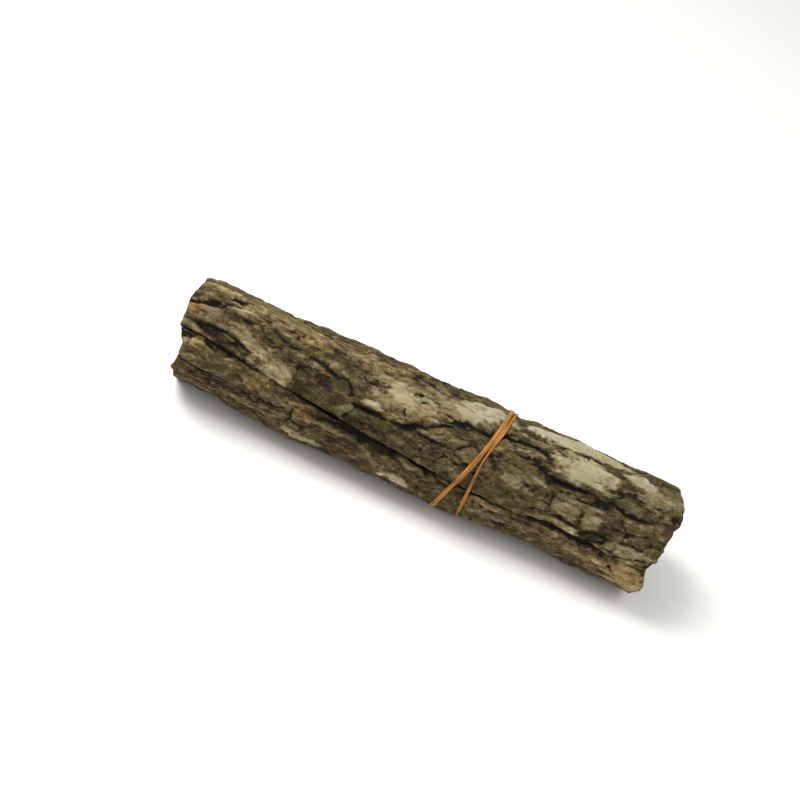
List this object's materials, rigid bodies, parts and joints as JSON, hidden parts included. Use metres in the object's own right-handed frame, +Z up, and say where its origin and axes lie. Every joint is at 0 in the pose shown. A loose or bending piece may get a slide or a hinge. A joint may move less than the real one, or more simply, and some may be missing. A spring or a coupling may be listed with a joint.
{
  "type": "bark tube",
  "caption": "Piece of rough, furrowed bark curled into a hollow tube, slit lengthwise and held closed by a knotted raffia tie.",
  "frame": {"origin": "on the ground under the middle of the part's bounding box", "axes": "+X along the tube, +Z up, and the slit faces -Y, a little below the front"},
  "size_m": [0.2926, 0.0684, 0.0646],
  "materials": {
    "bark": "matte, rough, weathered",
    "raffia": "dry plant fibre, satin"
  },
  "bodies": {
    "root": {"bark_tube": "bark", "raffia_tie": "raffia"}
  },
  "joints": []
}
